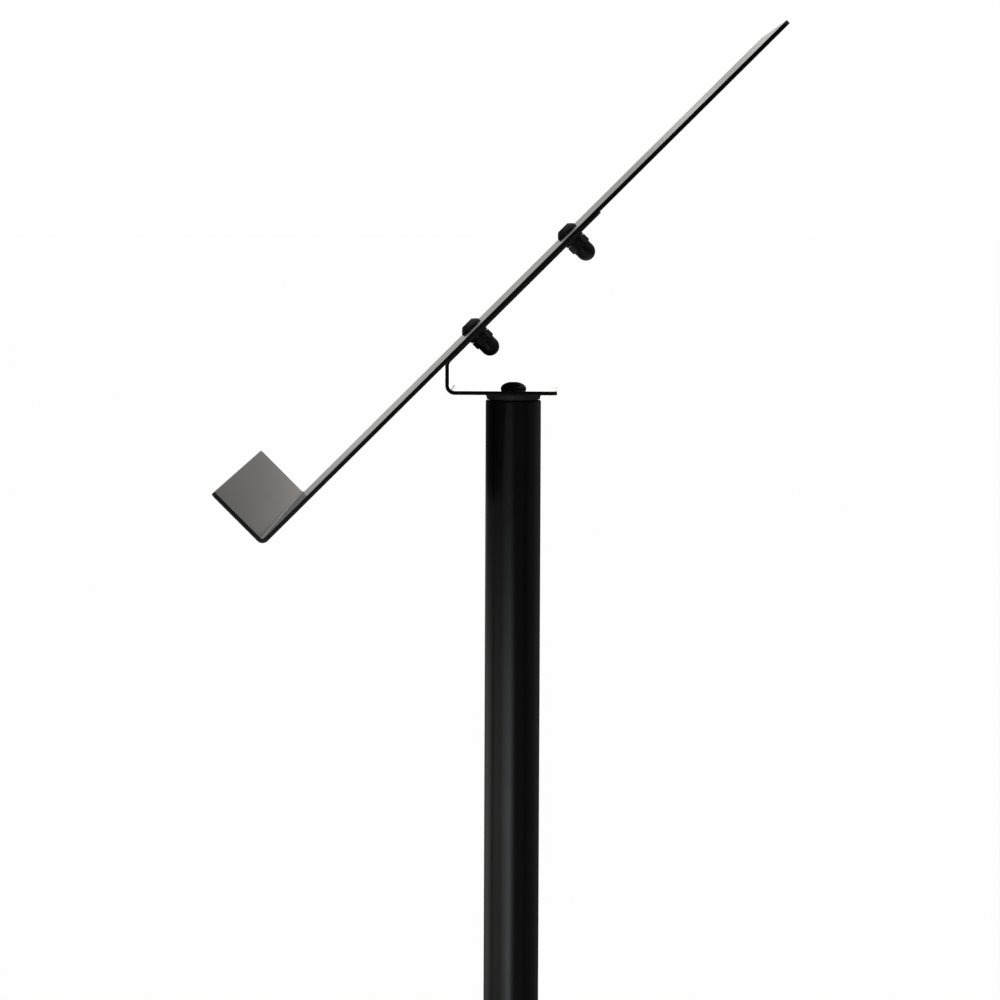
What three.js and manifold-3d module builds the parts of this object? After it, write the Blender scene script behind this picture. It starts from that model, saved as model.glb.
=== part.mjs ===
// Floor-standing display and reading stand: an L-bent sheet-steel tray held at 45 degrees on a round post.
// Millimetres, +Z up, origin on the floor under the post. The reader stands at -Y, the tray's low side.
// The head (tray, bracket and their screws) turns on the vertical bolt in the top of the post.

import * as THREE from "three";
import { mergeVertices } from "three/addons/utils/BufferGeometryUtils.js";
import Module from "manifold-3d";

// ---------- driving dimensions ----------

const SEAT_GAP = 0.1; // paint film left between pieces that are clamped together
const FIT_GAP = 0.1; // radial clearance of a piece pushed into another

// post
const POST_R = 15.875; // 1 1/4 in tube
const POST_WALL = 2.0;
const POST_BOTTOM_Z = 22.1;
const POST_LENGTH = 990.5;
const POST_TOP_EDGE_R = 1.9; // rounded rim at the tube's upper end
const POST_FOOT_EDGE = 0.4;
const POST_TOP_Z = POST_BOTTOM_Z + POST_LENGTH;
const POST_BORE_R = POST_R - POST_WALL;

// end cap in the top of the post
const CAP_SHADOW_GAP = 0.4; // line between the cap's brim and the tube
const CAP_BRIM_HEIGHT = 3.5;
const CAP_BRIM_TOP_R = 15.85;
const CAP_BRIM_BOTTOM_R = 15.2;
const CAP_BRIM_EDGE = 0.4;
const CAP_PLUG_LENGTH = 26;
const CAP_PLUG_WALL = 2.2;
const CAP_LEAD_IN = 0.8;
const CAP_BOSS_R = 9.6;
const CAP_WEB_THICKNESS = 6;
const CAP_POCKET_TOP = 10; // depth of the nut's seat under the cap's top face
const CAP_BOSS_LENGTH = 20;
const CAP_TOP_Z = POST_TOP_Z + CAP_SHADOW_GAP + CAP_BRIM_HEIGHT;

// support bracket
const BRACKET_Z = CAP_TOP_Z + SEAT_GAP; // underside of the bottom flange
const BRACKET_THICKNESS = 2.2;
const BRACKET_WIDTH = 50.8;
const BRACKET_BEND_R = 3.2; // inside radius
const BRACKET_WEB_Y = -38.25; // outer face of the upright web
const BRACKET_FRONT_Y = 25.2; // free end of the bottom flange
const BRACKET_CORNER_R = 3;
const BRACKET_SLOPE_END = 253.8; // end of the sloping flange, measured along the tray

// tray
const TRAY_TILT = Math.PI / 4;
const TRAY_WIDTH = 304.8;
const TRAY_THICKNESS = 2.4;
const TRAY_LENGTH = 396; // outer face of the ledge to the top edge
const TRAY_LEDGE = 39; // underside of the plate to the ledge's lip
const TRAY_BEND_R = 1.6; // inside radius
const TRAY_CORNER_R = 3;
const TRAY_ORIGIN_Y = -131.6; // sharp outer corner between ledge and plate
const TRAY_RISE = 57.2; // plate's underside above the bottom flange, on the post's axis

// tray screws, 1/4 in
const TRAY_SCREW_AT = [154.8, 232.0]; // distances from the ledge's outer face
const SCREW_R = 3.1;
const SCREW_HOLE_R = 3.4;
const SCREW_HEAD_R = 6.6;
const SCREW_HEAD_RIM = 1.3; // straight side of the head
const SCREW_HEAD_EDGE = 0.2;
const SCREW_SHOULDER = { inset: 0.9, rise: 1.1 }; // from the straight side into the cone
const SCREW_TOP_EDGE = { inset: 0.5, drop: 0.35 };
const SCREW_HEAD_TOP_R = 3.7;
const SCREW_HEAD_HEIGHT = 4.2;
const SCREW_SOCKET_AF = 4;
const SCREW_SOCKET_DEPTH = 2.4;
const SCREW_LENGTH = 15.9;
const SCREW_TIP = 0.7;

// lock washer and cap nut of a tray screw
const LOCK_WASHER_R = 6.2;
const LOCK_WASHER_BORE_R = 3.4;
const LOCK_WASHER_THICKNESS = 1.5;
const LOCK_WASHER_SPLIT = 0.9;
const NUT_AF = 11.1;
const NUT_HEX_HEIGHT = 4.9;
const NUT_DOME_R = 5.4;
const NUT_TOTAL = 13.5;
const NUT_BORE_R = 3.3;
const NUT_BORE_DEPTH = 11;
const NUT_BORE_CONE = 1;
const NUT_CHAMFER = 0.55;

// swivel bolt, 5/16 in, and the lock nut it screws into
const SWIVEL_R = 3.97;
const SWIVEL_HOLE_R = 4.05;
const SWIVEL_HEAD_R = 7.4;
const SWIVEL_HEAD_HEIGHT = 4.2;
const SWIVEL_SOCKET_AF = 4.4;
const SWIVEL_SOCKET_DEPTH = 2.6;
const SWIVEL_LENGTH = 25.4;
const SWIVEL_TIP = 0.9;
const LOCK_NUT_AF = 12.7;
const LOCK_NUT_HEX_HEIGHT = 6;
const LOCK_NUT_COLLAR_R = 5.9;
const LOCK_NUT_HEIGHT = 8.4;
const LOCK_NUT_BORE_R = 4.1;
const LOCK_NUT_CHAMFER = 0.6;

// base
const BASE_R = 178;
const BASE_TOP_Z = 22;
const BASE_SHEET = 1.5;
const BASE_EDGE_R = 7;
const BASE_SKIRT_Z = 3;
const BASE_HOLE_R = 5.6;
const WEIGHT_R = 165;
const WEIGHT_BOTTOM_Z = 8.2;
const WEIGHT_EDGE = 2;
const WEIGHT_POCKET_R = 15.5;
const WEIGHT_POCKET_Z = 14.2;
const FOOT_PITCH_R = 140;
const FOOT_TOP_R = 14;
const FOOT_BOTTOM_R = 12.5;
const FOOT_EDGE = 1;

// base bolt, M10, with its washers, and the plug in the post it screws into
const BASE_BOLT_R = 4.75;
const BASE_BOLT_LENGTH = 30;
const BASE_BOLT_HEAD_AF = 17;
const BASE_BOLT_HEAD_HEIGHT = 6.4;
const BASE_BOLT_CHAMFER = 1;
const BASE_FLAT_WASHER = { outer: 10, bore: 5.25, thickness: 2 };
const BASE_LOCK_WASHER = { outer: 9, bore: 5.1, thickness: 2.2, split: 1.4 };
const PLUG_LENGTH = 20;
const PLUG_BORE_R = 4.85;
const PLUG_EDGE = 1;

// shared details
const HEX_CHAMFER_RUN = Math.sqrt(3); // run over rise of a 30 degree chamfer
const WASHER_SPLIT_SLANT = 0.35; // radians, through the washer's thickness
const OVERLAP = 0.5; // how far joined solids reach into each other
const SPILL = 1; // how far cutters reach past what they cut

// smoothness of round shapes
const FINE = 96;
const ROUND = 48;
const SMALL = 32;
const BEND_STEPS = 6;
const RIM_STEPS = 6;
const DOME_STEPS = 9;

// ---------- solids ----------

const wasm = await Module();
wasm.setup();

function solidOf(geometry) {
  const bare = geometry.clone();
  bare.deleteAttribute("normal");
  bare.deleteAttribute("uv");
  const merged = mergeVertices(bare, 1e-4);
  return new wasm.Manifold(
    new wasm.Mesh({
      numProp: 3,
      vertProperties: new Float32Array(merged.attributes.position.array),
      triVerts: new Uint32Array(merged.index.array),
    }),
  );
}

function geometryOf(solid) {
  const mesh = solid.getMesh();
  const geometry = new THREE.BufferGeometry();
  geometry.setAttribute(
    "position",
    new THREE.BufferAttribute(Float32Array.from(mesh.vertProperties), 3),
  );
  geometry.setIndex(new THREE.BufferAttribute(Uint32Array.from(mesh.triVerts), 1));
  geometry.computeVertexNormals();
  return geometry;
}

// Turns a closed [radius, height] outline, anticlockwise, round the Z axis.
function turned(outline, segments) {
  const points = [...outline, outline[0]].map(([r, z]) => new THREE.Vector2(r, z));
  const geometry = new THREE.LatheGeometry(points, segments);
  return geometry.rotateX(Math.PI / 2);
}

// Points of an arc from one angle to another, as [radius, height] pairs.
function arcPoints(centre, radius, from, to, steps) {
  return Array.from({ length: steps + 1 }, (_, i) => {
    const angle = from + ((to - from) * i) / steps;
    return [centre[0] + radius * Math.cos(angle), centre[1] + radius * Math.sin(angle)];
  });
}

// An upright hexagonal prism with flats facing +X and -X.
function hexPrism(acrossFlats, bottom, top) {
  const corner = acrossFlats / Math.sqrt(3);
  const shape = new THREE.Shape(
    Array.from({ length: 6 }, (_, i) => {
      const angle = (i + 0.5) * (Math.PI / 3);
      return new THREE.Vector2(corner * Math.cos(angle), corner * Math.sin(angle));
    }),
  );
  const geometry = new THREE.ExtrudeGeometry(shape, {
    depth: top - bottom,
    bevelEnabled: false,
  });
  return geometry.translate(0, 0, bottom);
}

// The hexagonal prism with the corners of its chosen ends turned off at about 30 degrees.
function chamferedHex(acrossFlats, bottom, top, chamfer, ends) {
  const corner = acrossFlats / Math.sqrt(3);
  const flat = corner - chamfer * HEX_CHAMFER_RUN;
  const clear = corner + SPILL;
  const low = ends.bottom ? flat : clear;
  const high = ends.top ? flat : clear;
  const turnedOff = turned(
    [
      [0, bottom],
      [low, bottom],
      [ends.bottom ? corner : clear, bottom + chamfer],
      [ends.top ? corner : clear, top - chamfer],
      [high, top],
      [0, top],
    ],
    ROUND,
  );
  return solidOf(hexPrism(acrossFlats, bottom, top)).intersect(solidOf(turnedOff));
}

// ---------- bent sheet ----------

// Side outline, in (Y, Z), of a sheet that follows the corners with its right-hand face and bends left.
function bentOutline(corners, thickness, insideR) {
  const outer = [];
  const inner = [];
  const left = (d) => new THREE.Vector2(-d.y, d.x);
  corners.forEach((corner, i) => {
    const before = i > 0 ? corner.clone().sub(corners[i - 1]).normalize() : null;
    const after =
      i < corners.length - 1 ? corners[i + 1].clone().sub(corner).normalize() : null;
    if (!before || !after) {
      const across = left(before ?? after).multiplyScalar(thickness);
      outer.push(corner.clone());
      inner.push(corner.clone().add(across));
      return;
    }
    const turn = before.angleTo(after);
    const outsideR = insideR + thickness;
    const start = corner.clone().addScaledVector(before, -outsideR * Math.tan(turn / 2));
    const centre = start.clone().addScaledVector(left(before), outsideR);
    const spoke = start.clone().sub(centre).normalize();
    for (let k = 0; k <= BEND_STEPS; k++) {
      const ray = spoke
        .clone()
        .rotateAround(new THREE.Vector2(), (turn * k) / BEND_STEPS);
      outer.push(centre.clone().addScaledVector(ray, outsideR));
      inner.push(centre.clone().addScaledVector(ray, insideR));
    }
  });
  return new THREE.Shape([...outer, ...inner.reverse()]);
}

// Extrudes a (Y, Z) outline across the width, centred on X = 0.
function acrossWidth(shape, width) {
  const geometry = new THREE.ExtrudeGeometry(shape, { depth: width, bevelEnabled: false });
  geometry.translate(0, 0, -width / 2);
  return geometry.applyMatrix4(
    new THREE.Matrix4().makeBasis(
      new THREE.Vector3(0, 1, 0),
      new THREE.Vector3(0, 0, 1),
      new THREE.Vector3(1, 0, 0),
    ),
  );
}

// Rounds the two corners of a sheet's free end: `end` is a (Y, Z) point on it, `out` the way the sheet ends.
function roundFreeEnd(sheet, end, out, width, radius, thickness) {
  const points = arcPoints([-radius, -radius], radius, Math.PI / 2, 0, BEND_STEPS);
  points.push([SPILL, -radius], [SPILL, SPILL], [-radius, SPILL]);
  const waste = new THREE.Shape(points.map(([x, y]) => new THREE.Vector2(x, y)));
  const depth = 6 * thickness;
  const along = new THREE.Vector3(0, out.x, out.y);
  for (const side of [-1, 1]) {
    const sideways = new THREE.Vector3(side, 0, 0);
    const corner = new THREE.Vector3((side * width) / 2, end.x, end.y);
    const place = new THREE.Matrix4()
      .makeBasis(sideways, along, sideways.clone().cross(along))
      .setPosition(corner);
    const cutter = new THREE.ExtrudeGeometry(waste, { depth, bevelEnabled: false })
      .translate(0, 0, -depth / 2)
      .applyMatrix4(place);
    sheet = sheet.subtract(solidOf(cutter));
  }
  return sheet;
}

// ---------- the tray's slope ----------

const slopeDir = new THREE.Vector2(Math.cos(TRAY_TILT), Math.sin(TRAY_TILT));
const slopeUp = new THREE.Vector2(-slopeDir.y, slopeDir.x);
const trayCorner = new THREE.Vector2(
  TRAY_ORIGIN_Y,
  TRAY_ORIGIN_Y + TRAY_RISE + BRACKET_Z,
);

// The (Y, Z) point `along` the slope from the ledge and `above` the plate's underside.
function onSlope(along, above) {
  return trayCorner
    .clone()
    .addScaledVector(slopeDir, along)
    .addScaledVector(slopeUp, above);
}

// Turns a shape made upright round Z, standing on the plate's underside, onto the slope.
function tiltOnto(geometry, along, above) {
  const point = onSlope(along, above);
  return geometry.rotateX(TRAY_TILT).translate(0, point.x, point.y);
}

// A round cutter through the sloping sheets at one screw.
function slopeHole(along, radius) {
  const reach = 3 * TRAY_THICKNESS;
  const drill = new THREE.CylinderGeometry(radius, radius, 2 * reach, ROUND);
  return solidOf(tiltOnto(drill.rotateX(Math.PI / 2), along, 0));
}

function readingTray() {
  const path = [onSlope(0, TRAY_LEDGE), onSlope(0, 0), onSlope(TRAY_LENGTH, 0)];
  const outline = bentOutline(path, TRAY_THICKNESS, TRAY_BEND_R);
  let tray = solidOf(acrossWidth(outline, TRAY_WIDTH));
  const ends = [
    { point: path[0], out: slopeUp },
    { point: path[2], out: slopeDir },
  ];
  for (const { point, out } of ends) {
    tray = roundFreeEnd(tray, point, out, TRAY_WIDTH, TRAY_CORNER_R, TRAY_THICKNESS);
  }
  for (const along of TRAY_SCREW_AT) {
    tray = tray.subtract(slopeHole(along, SCREW_HOLE_R));
  }
  return geometryOf(tray);
}

// Where the web's outer face meets the plane of the sloping flange's upper face.
function bracketKnee() {
  const start = onSlope(0, -SEAT_GAP);
  const rise = (BRACKET_WEB_Y - start.x) * Math.tan(TRAY_TILT);
  return new THREE.Vector2(BRACKET_WEB_Y, start.y + rise);
}

function supportBracket() {
  const path = [
    onSlope(BRACKET_SLOPE_END, -SEAT_GAP),
    bracketKnee(),
    new THREE.Vector2(BRACKET_WEB_Y, BRACKET_Z),
    new THREE.Vector2(BRACKET_FRONT_Y, BRACKET_Z),
  ];
  const outline = bentOutline(path, BRACKET_THICKNESS, BRACKET_BEND_R);
  let bracket = solidOf(acrossWidth(outline, BRACKET_WIDTH));
  const ends = [
    { point: path[0], out: slopeDir },
    { point: path[3], out: new THREE.Vector2(1, 0) },
  ];
  for (const { point, out } of ends) {
    bracket = roundFreeEnd(
      bracket,
      point,
      out,
      BRACKET_WIDTH,
      BRACKET_CORNER_R,
      BRACKET_THICKNESS,
    );
  }
  for (const along of TRAY_SCREW_AT) {
    bracket = bracket.subtract(slopeHole(along, SCREW_HOLE_R));
  }
  const reach = 3 * BRACKET_THICKNESS;
  const drill = new THREE.CylinderGeometry(SWIVEL_HOLE_R, SWIVEL_HOLE_R, 2 * reach, ROUND)
    .rotateX(Math.PI / 2)
    .translate(0, 0, BRACKET_Z);
  return geometryOf(bracket.subtract(solidOf(drill)));
}

// ---------- screws, washers and nuts, each upright with its seat at Z = 0 ----------

// Flat-topped button-head screw: the head stands above Z = 0 and the shank hangs below.
function trayScrew() {
  const outline = [
    [0, -SCREW_LENGTH],
    [SCREW_R - SCREW_TIP, -SCREW_LENGTH],
    [SCREW_R, -SCREW_LENGTH + SCREW_TIP],
    [SCREW_R, 0],
    [SCREW_HEAD_R - SCREW_HEAD_EDGE, 0],
    [SCREW_HEAD_R, SCREW_HEAD_EDGE],
    [SCREW_HEAD_R, SCREW_HEAD_RIM],
    [SCREW_HEAD_R - SCREW_SHOULDER.inset, SCREW_HEAD_RIM + SCREW_SHOULDER.rise],
    [SCREW_HEAD_TOP_R + SCREW_TOP_EDGE.inset, SCREW_HEAD_HEIGHT - SCREW_TOP_EDGE.drop],
    [SCREW_HEAD_TOP_R, SCREW_HEAD_HEIGHT],
    [0, SCREW_HEAD_HEIGHT],
  ];
  const socket = hexPrism(
    SCREW_SOCKET_AF,
    SCREW_HEAD_HEIGHT - SCREW_SOCKET_DEPTH,
    SCREW_HEAD_HEIGHT + SPILL,
  );
  return geometryOf(solidOf(turned(outline, SMALL)).subtract(solidOf(socket)));
}

// Split spring washer lying on Z = 0, its split on the +Y side.
function springWasher(outer, bore, thickness, split) {
  const ring = turned(
    [
      [bore, 0],
      [outer, 0],
      [outer, thickness],
      [bore, thickness],
    ],
    SMALL,
  );
  const cut = new THREE.BoxGeometry(split, outer, 4 * thickness)
    .rotateY(WASHER_SPLIT_SLANT)
    .translate(0, (bore + outer) / 2, thickness / 2);
  return geometryOf(solidOf(ring).subtract(solidOf(cut)));
}

// Cap nut hanging below Z = 0, dome downwards.
function capNut() {
  const hex = chamferedHex(NUT_AF, -NUT_HEX_HEIGHT, 0, NUT_CHAMFER, {
    bottom: true,
    top: false,
  });
  const domeZ = -NUT_TOTAL + NUT_DOME_R;
  const dome = turned(
    [
      ...arcPoints([0, domeZ], NUT_DOME_R, -Math.PI / 2, 0, DOME_STEPS),
      [NUT_DOME_R, -NUT_HEX_HEIGHT + OVERLAP],
      [0, -NUT_HEX_HEIGHT + OVERLAP],
    ],
    SMALL,
  );
  const bore = turned(
    [
      [0, -NUT_BORE_DEPTH],
      [NUT_BORE_R, -NUT_BORE_DEPTH + NUT_BORE_CONE],
      [NUT_BORE_R, SPILL],
      [0, SPILL],
    ],
    SMALL,
  );
  return geometryOf(hex.add(solidOf(dome)).subtract(solidOf(bore)));
}

// Round-head bolt with a hexagon socket; the head stands above Z = 0.
function swivelBolt() {
  const dome = arcPoints([0, 0], 1, 0, Math.PI / 2, DOME_STEPS).map(([r, z]) => [
    SWIVEL_HEAD_R * r,
    SWIVEL_HEAD_HEIGHT * z,
  ]);
  const outline = [
    [0, -SWIVEL_LENGTH],
    [SWIVEL_R - SWIVEL_TIP, -SWIVEL_LENGTH],
    [SWIVEL_R, -SWIVEL_LENGTH + SWIVEL_TIP],
    [SWIVEL_R, 0],
    ...dome,
  ];
  const socket = hexPrism(
    SWIVEL_SOCKET_AF,
    SWIVEL_HEAD_HEIGHT - SWIVEL_SOCKET_DEPTH,
    SWIVEL_HEAD_HEIGHT + SPILL,
  );
  return geometryOf(solidOf(turned(outline, ROUND)).subtract(solidOf(socket)));
}

// Hexagon lock nut below Z = 0 with the round collar of its nylon ring at the bottom.
function lockNut() {
  const hex = chamferedHex(LOCK_NUT_AF, -LOCK_NUT_HEX_HEIGHT, 0, LOCK_NUT_CHAMFER, {
    bottom: true,
    top: true,
  });
  const collar = turned(
    [
      [0, -LOCK_NUT_HEIGHT],
      [LOCK_NUT_COLLAR_R - LOCK_NUT_CHAMFER, -LOCK_NUT_HEIGHT],
      [LOCK_NUT_COLLAR_R, -LOCK_NUT_HEIGHT + LOCK_NUT_CHAMFER],
      [LOCK_NUT_COLLAR_R, -LOCK_NUT_HEX_HEIGHT + OVERLAP],
      [0, -LOCK_NUT_HEX_HEIGHT + OVERLAP],
    ],
    SMALL,
  );
  const bore = new THREE.CylinderGeometry(
    LOCK_NUT_BORE_R,
    LOCK_NUT_BORE_R,
    3 * LOCK_NUT_HEIGHT,
    SMALL,
  );
  const tapped = hex.add(solidOf(collar));
  return geometryOf(tapped.subtract(solidOf(bore.rotateX(Math.PI / 2))));
}

// ---------- post ----------

function postTube() {
  const rim = arcPoints(
    [POST_R - POST_TOP_EDGE_R, POST_TOP_Z - POST_TOP_EDGE_R],
    POST_TOP_EDGE_R,
    0,
    Math.PI / 2,
    RIM_STEPS,
  );
  return turned(
    [
      [POST_BORE_R, POST_BOTTOM_Z],
      [POST_R - POST_FOOT_EDGE, POST_BOTTOM_Z],
      [POST_R, POST_BOTTOM_Z + POST_FOOT_EDGE],
      ...rim,
      [POST_BORE_R, POST_TOP_Z],
    ],
    ROUND,
  );
}

function postEndCap() {
  const plugR = POST_BORE_R - FIT_GAP;
  const brimZ = CAP_TOP_Z - CAP_BRIM_HEIGHT;
  const plugZ = CAP_TOP_Z - CAP_BRIM_HEIGHT - CAP_PLUG_LENGTH;
  const webZ = CAP_TOP_Z - CAP_WEB_THICKNESS;
  const bossZ = CAP_TOP_Z - CAP_BOSS_LENGTH;
  const body = turned(
    [
      [SWIVEL_HOLE_R, bossZ],
      [CAP_BOSS_R, bossZ],
      [CAP_BOSS_R, webZ],
      [plugR - CAP_PLUG_WALL, webZ],
      [plugR - CAP_PLUG_WALL, plugZ],
      [plugR - CAP_LEAD_IN, plugZ],
      [plugR, plugZ + 2 * CAP_LEAD_IN],
      [plugR, brimZ],
      [CAP_BRIM_BOTTOM_R, brimZ],
      [CAP_BRIM_TOP_R, CAP_TOP_Z - CAP_BRIM_EDGE],
      [CAP_BRIM_TOP_R - CAP_BRIM_EDGE, CAP_TOP_Z],
      [SWIVEL_HOLE_R, CAP_TOP_Z],
    ],
    ROUND,
  );
  const pocket = hexPrism(
    LOCK_NUT_AF + 2 * FIT_GAP,
    bossZ - SPILL,
    CAP_TOP_Z - CAP_POCKET_TOP,
  );
  return geometryOf(solidOf(body).subtract(solidOf(pocket)));
}

// Threaded steel plug in the foot of the post.
function postFootPlug() {
  const plugR = POST_BORE_R - FIT_GAP;
  const top = POST_BOTTOM_Z + PLUG_LENGTH;
  return turned(
    [
      [PLUG_BORE_R, POST_BOTTOM_Z],
      [plugR - PLUG_EDGE, POST_BOTTOM_Z],
      [plugR, POST_BOTTOM_Z + PLUG_EDGE],
      [plugR, top - PLUG_EDGE],
      [plugR - PLUG_EDGE, top],
      [PLUG_BORE_R, top],
    ],
    ROUND,
  );
}

// ---------- base ----------

function baseCover() {
  const outerEdge = [BASE_R - BASE_EDGE_R, BASE_TOP_Z - BASE_EDGE_R];
  return turned(
    [
      [BASE_R - BASE_SHEET, BASE_SKIRT_Z],
      [BASE_R, BASE_SKIRT_Z],
      ...arcPoints(outerEdge, BASE_EDGE_R, 0, Math.PI / 2, BEND_STEPS),
      [BASE_HOLE_R, BASE_TOP_Z],
      [BASE_HOLE_R, BASE_TOP_Z - BASE_SHEET],
      ...arcPoints(outerEdge, BASE_EDGE_R - BASE_SHEET, Math.PI / 2, 0, BEND_STEPS),
    ],
    FINE,
  );
}

function baseWeight() {
  const top = BASE_TOP_Z - BASE_SHEET - SEAT_GAP;
  return turned(
    [
      [WEIGHT_POCKET_R, WEIGHT_BOTTOM_Z],
      [WEIGHT_R - WEIGHT_EDGE, WEIGHT_BOTTOM_Z],
      [WEIGHT_R, WEIGHT_BOTTOM_Z + WEIGHT_EDGE],
      [WEIGHT_R, top - WEIGHT_EDGE],
      [WEIGHT_R - WEIGHT_EDGE, top],
      [BASE_HOLE_R, top],
      [BASE_HOLE_R, WEIGHT_POCKET_Z],
      [WEIGHT_POCKET_R, WEIGHT_POCKET_Z],
    ],
    FINE,
  );
}

function flatWasher({ outer, bore, thickness }) {
  return turned(
    [
      [bore, 0],
      [outer, 0],
      [outer, thickness],
      [bore, thickness],
    ],
    SMALL,
  );
}

// Hexagon-head bolt pointing up: the head hangs below Z = 0.
function baseBolt() {
  const head = chamferedHex(
    BASE_BOLT_HEAD_AF,
    -BASE_BOLT_HEAD_HEIGHT,
    0,
    BASE_BOLT_CHAMFER,
    { bottom: true, top: false },
  );
  const shank = turned(
    [
      [0, -OVERLAP],
      [BASE_BOLT_R, -OVERLAP],
      [BASE_BOLT_R, BASE_BOLT_LENGTH - BASE_BOLT_CHAMFER],
      [BASE_BOLT_R - BASE_BOLT_CHAMFER, BASE_BOLT_LENGTH],
      [0, BASE_BOLT_LENGTH],
    ],
    SMALL,
  );
  return geometryOf(head.add(solidOf(shank)));
}

function rubberFoot() {
  const top = WEIGHT_BOTTOM_Z - SEAT_GAP;
  return turned(
    [
      [0, 0],
      [FOOT_BOTTOM_R - FOOT_EDGE, 0],
      [FOOT_BOTTOM_R, FOOT_EDGE],
      [FOOT_TOP_R, top],
      [0, top],
    ],
    SMALL,
  );
}

// ---------- finishes ----------

const FINISHES = {
  powder_coat: { color: 0x121212, metalness: 0.2, roughness: 0.42 },
  black_hardware: { color: 0x161616, metalness: 0.6, roughness: 0.35 },
  black_nylon: { color: 0x141414, metalness: 0, roughness: 0.5 },
  zinc_steel: { color: 0xa9abae, metalness: 0.9, roughness: 0.35 },
  cast_iron: { color: 0x3c3c3e, metalness: 0.7, roughness: 0.7 },
  rubber: { color: 0x1b1b1b, metalness: 0, roughness: 0.9 },
};

const stand = new THREE.Group();
stand.name = "tilted_tray_stand";

function add(name, geometry, finish) {
  const material = new THREE.MeshStandardMaterial(FINISHES[finish]);
  material.name = finish;
  const mesh = new THREE.Mesh(geometry, material);
  mesh.name = name;
  stand.add(mesh);
}

// ---------- head ----------

add("reading_tray", readingTray(), "powder_coat");
add("support_bracket", supportBracket(), "powder_coat");

const washerSeat =
  -SEAT_GAP - BRACKET_THICKNESS - SEAT_GAP - LOCK_WASHER_THICKNESS;
["lower", "upper"].forEach((place, i) => {
  const along = TRAY_SCREW_AT[i];
  const headSeat = TRAY_THICKNESS + SEAT_GAP;
  const nutSeat = washerSeat - SEAT_GAP;
  const washer = springWasher(
    LOCK_WASHER_R,
    LOCK_WASHER_BORE_R,
    LOCK_WASHER_THICKNESS,
    LOCK_WASHER_SPLIT,
  );
  add("tray_screw_" + place, tiltOnto(trayScrew(), along, headSeat), "black_hardware");
  add("lock_washer_" + place, tiltOnto(washer, along, washerSeat), "black_hardware");
  add("cap_nut_" + place, tiltOnto(capNut(), along, nutSeat), "black_hardware");
});

// ---------- post ----------

const boltSeatZ = BRACKET_Z + BRACKET_THICKNESS + SEAT_GAP;
const nutSeatZ = CAP_TOP_Z - CAP_POCKET_TOP - SEAT_GAP;
add("swivel_bolt", swivelBolt().translate(0, 0, boltSeatZ), "black_hardware");
add("post_end_cap", postEndCap(), "black_nylon");
add("swivel_lock_nut", lockNut().translate(0, 0, nutSeatZ), "zinc_steel");
add("post_tube", postTube(), "powder_coat");
add("post_foot_plug", postFootPlug(), "zinc_steel");

// ---------- base ----------

add("base_cover", baseCover(), "powder_coat");
add("base_weight", baseWeight(), "cast_iron");

const flatWasherZ = WEIGHT_POCKET_Z - SEAT_GAP - BASE_FLAT_WASHER.thickness;
const lockWasherZ = flatWasherZ - SEAT_GAP - BASE_LOCK_WASHER.thickness;
const { outer, bore, thickness, split } = BASE_LOCK_WASHER;
add(
  "base_flat_washer",
  flatWasher(BASE_FLAT_WASHER).translate(0, 0, flatWasherZ),
  "zinc_steel",
);
add(
  "base_lock_washer",
  springWasher(outer, bore, thickness, split).translate(0, 0, lockWasherZ),
  "zinc_steel",
);
add("base_bolt", baseBolt().translate(0, 0, lockWasherZ - SEAT_GAP), "zinc_steel");

const FOOT_NAMES = ["rear_right", "rear_left", "front_left", "front_right"];
FOOT_NAMES.forEach((place, i) => {
  const angle = Math.PI / 4 + (i * Math.PI) / 2;
  const foot = rubberFoot().translate(
    FOOT_PITCH_R * Math.cos(angle),
    FOOT_PITCH_R * Math.sin(angle),
    0,
  );
  add("foot_" + place, foot, "rubber");
});

export default stand;
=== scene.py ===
"""Looks of the floor-standing tilted tray stand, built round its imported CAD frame. Metres, +Z up.

The reader stands at -Y. The camera looks along -X at the side of the tray.
"""

import math
from dataclasses import dataclass

import bmesh
import bpy
from mathutils import Matrix, Vector


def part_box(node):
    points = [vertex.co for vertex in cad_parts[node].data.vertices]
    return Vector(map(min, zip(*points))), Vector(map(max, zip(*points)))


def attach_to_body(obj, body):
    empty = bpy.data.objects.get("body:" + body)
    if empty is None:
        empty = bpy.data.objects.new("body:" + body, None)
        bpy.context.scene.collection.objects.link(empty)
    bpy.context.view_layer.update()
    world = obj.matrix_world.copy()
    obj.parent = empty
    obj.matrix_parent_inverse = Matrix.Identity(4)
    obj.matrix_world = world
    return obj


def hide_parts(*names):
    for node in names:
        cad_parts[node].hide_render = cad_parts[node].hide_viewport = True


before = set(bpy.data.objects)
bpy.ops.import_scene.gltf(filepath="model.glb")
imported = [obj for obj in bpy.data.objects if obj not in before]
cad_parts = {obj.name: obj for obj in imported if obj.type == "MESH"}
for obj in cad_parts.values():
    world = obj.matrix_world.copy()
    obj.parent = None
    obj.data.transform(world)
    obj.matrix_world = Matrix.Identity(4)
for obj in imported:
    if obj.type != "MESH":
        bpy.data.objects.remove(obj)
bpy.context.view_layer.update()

MM = 0.001
TILT = math.radians(45)
SLOPE = Vector((0, math.cos(TILT), math.sin(TILT)))  # up along the tray
NORMAL = Vector((0, -math.sin(TILT), math.cos(TILT)))  # out of the reading face

# ---------- sizes the frame's boxes don't tell ----------

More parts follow.
